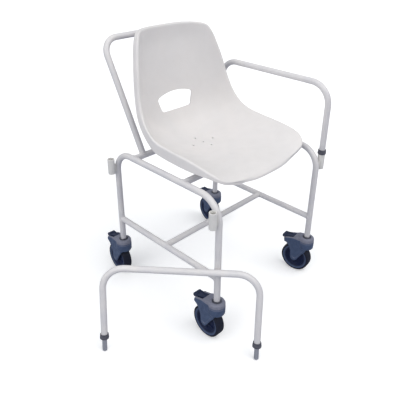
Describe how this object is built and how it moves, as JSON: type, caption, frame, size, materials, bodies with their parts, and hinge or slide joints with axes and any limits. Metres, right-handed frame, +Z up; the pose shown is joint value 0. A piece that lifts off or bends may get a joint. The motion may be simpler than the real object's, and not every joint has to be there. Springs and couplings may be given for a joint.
{
  "type": "mobile commode chair",
  "caption": "Wheeled shower and commode chair: bent tube frame, moulded bucket seat with drain holes and a hand slot, push handle, lift-out arms and braked swivel casters.",
  "frame": {"origin": "on the floor, at the middle of the whole object's box, the loose arm included", "axes": "+Z up; the sitter faces -Y; the sitter's left is +X"},
  "size_m": [0.798, 0.7114, 0.8632],
  "materials": {
    "powder_coat": "smooth semi-gloss white powder coat",
    "bare_steel": "plain bright steel",
    "shell_plastic": "fine-grained satin off-white polypropylene",
    "collar_plastic": "moulded dark grey plastic",
    "housing_plastic": "satin slate-blue nylon",
    "hub_plastic": "satin navy nylon",
    "pedal_plastic": "moulded dark navy nylon",
    "tyre_rubber": "near-black rubber"
  },
  "bodies": {
    "chair": {"side_frame_right": "powder_coat", "stretcher_right": "powder_coat", "arm_socket_right_front": "powder_coat", "arm_socket_right_rear": "powder_coat", "side_frame_left": "powder_coat", "stretcher_left": "powder_coat", "arm_socket_left_front": "powder_coat", "arm_socket_left_rear": "powder_coat", "h_crossbar": "powder_coat", "front_cross_tube": "powder_coat", "rear_cross_tube": "powder_coat", "push_handle": "powder_coat", "seat_shell": "shell_plastic", "seat_screw_1": "bare_steel", "seat_screw_2": "bare_steel", "seat_screw_3": "bare_steel", "seat_screw_4": "bare_steel", "caster_stem_front_right": "bare_steel", "caster_stem_front_left": "bare_steel", "caster_stem_rear_left": "bare_steel", "caster_stem_rear_right": "bare_steel"},
    "left_arm": {"arm_loop_left": "powder_coat", "arm_spigot_left_front": "bare_steel", "arm_collar_left_front": "collar_plastic", "arm_spigot_left_rear": "bare_steel", "arm_collar_left_rear": "collar_plastic"},
    "right_arm": {"arm_loop_right": "powder_coat", "arm_spigot_right_front": "bare_steel", "arm_collar_right_front": "collar_plastic", "arm_spigot_right_rear": "bare_steel", "arm_collar_right_rear": "collar_plastic"},
    "caster_front_right": {"caster_housing_front_right": "housing_plastic", "swivel_ring_front_right": "hub_plastic", "caster_axle_front_right": "bare_steel"},
    "wheel_front_right": {"tyre_front_right": "tyre_rubber", "hub_front_right": "hub_plastic"},
    "brake_front_right": {"brake_pedal_front_right": "pedal_plastic", "brake_shoe_front_right": "tyre_rubber"},
    "caster_front_left": {"caster_housing_front_left": "housing_plastic", "swivel_ring_front_left": "hub_plastic", "caster_axle_front_left": "bare_steel"},
    "wheel_front_left": {"tyre_front_left": "tyre_rubber", "hub_front_left": "hub_plastic"},
    "brake_front_left": {"brake_pedal_front_left": "pedal_plastic", "brake_shoe_front_left": "tyre_rubber"},
    "caster_rear_left": {"caster_housing_rear_left": "housing_plastic", "swivel_ring_rear_left": "hub_plastic", "caster_axle_rear_left": "bare_steel"},
    "wheel_rear_left": {"tyre_rear_left": "tyre_rubber", "hub_rear_left": "hub_plastic"},
    "brake_rear_left": {"brake_pedal_rear_left": "pedal_plastic", "brake_shoe_rear_left": "tyre_rubber"},
    "caster_rear_right": {"caster_housing_rear_right": "housing_plastic", "swivel_ring_rear_right": "hub_plastic", "caster_axle_rear_right": "bare_steel"},
    "wheel_rear_right": {"tyre_rear_right": "tyre_rubber", "hub_rear_right": "hub_plastic"},
    "brake_rear_right": {"brake_pedal_rear_right": "pedal_plastic", "brake_shoe_rear_right": "tyre_rubber"}
  },
  "joints": [
    {"name": "left_arm_lift", "type": "slide", "parent": "chair", "child": "left_arm", "axis": [0, 0, 1], "range_m": [0, 0.06]},
    {"name": "right_arm_pick_up", "type": "slide", "parent": "chair", "child": "right_arm", "axis": [0, 0, 1], "range_m": [0, 0.12]},
    {"name": "swivel_front_right", "type": "hinge", "parent": "chair", "child": "caster_front_right", "pos_m": [-0.11597, -0.20403, 0.14], "axis": [0, 0, 1], "continuous": true},
    {"name": "roll_front_right", "type": "hinge", "parent": "caster_front_right", "child": "wheel_front_right", "pos_m": [-0.11498, -0.17104, 0.054], "axis": [0.9996, -0.03, 0], "continuous": true},
    {"name": "pedal_front_right", "type": "hinge", "parent": "caster_front_right", "child": "brake_front_right", "pos_m": [-0.11399, -0.13806, 0.12], "axis": [-0.9996, 0.03, 0], "range_deg": [0, 10]},
    {"name": "swivel_front_left", "type": "hinge", "parent": "chair", "child": "caster_front_left", "pos_m": [0.36003, -0.20403, 0.14], "axis": [0, 0, 1], "continuous": true},
    {"name": "roll_front_left", "type": "hinge", "parent": "caster_front_left", "child": "wheel_front_left", "pos_m": [0.35575, -0.1713, 0.054], "axis": [0.9916, 0.1296, 0], "continuous": true},
    {"name": "pedal_front_left", "type": "hinge", "parent": "caster_front_left", "child": "brake_front_left", "pos_m": [0.35147, -0.13858, 0.12], "axis": [-0.9916, -0.1296, 0], "range_deg": [0, 10]},
    {"name": "swivel_rear_left", "type": "hinge", "parent": "chair", "child": "caster_rear_left", "pos_m": [0.36003, 0.25397, 0.14], "axis": [0, 0, 1], "continuous": true},
    {"name": "roll_rear_left", "type": "hinge", "parent": "caster_rear_left", "child": "wheel_rear_left", "pos_m": [0.36496, 0.2866, 0.054], "axis": [0.9888, -0.1494, 0], "continuous": true},
    {"name": "pedal_rear_left", "type": "hinge", "parent": "caster_rear_left", "child": "brake_rear_left", "pos_m": [0.36989, 0.31923, 0.12], "axis": [-0.9888, 0.1494, 0], "range_deg": [0, 10]},
    {"name": "swivel_rear_right", "type": "hinge", "parent": "chair", "child": "caster_rear_right", "pos_m": [-0.11597, 0.25397, 0.14], "axis": [0, 0, 1], "continuous": true},
    {"name": "roll_rear_right", "type": "hinge", "parent": "caster_rear_right", "child": "wheel_rear_right", "pos_m": [-0.11334, 0.28687, 0.054], "axis": [0.9968, -0.0799, 0], "continuous": true},
    {"name": "pedal_rear_right", "type": "hinge", "parent": "caster_rear_right", "child": "brake_rear_right", "pos_m": [-0.1107, 0.31976, 0.12], "axis": [-0.9968, 0.0799, 0], "range_deg": [0, 10]}
  ]
}
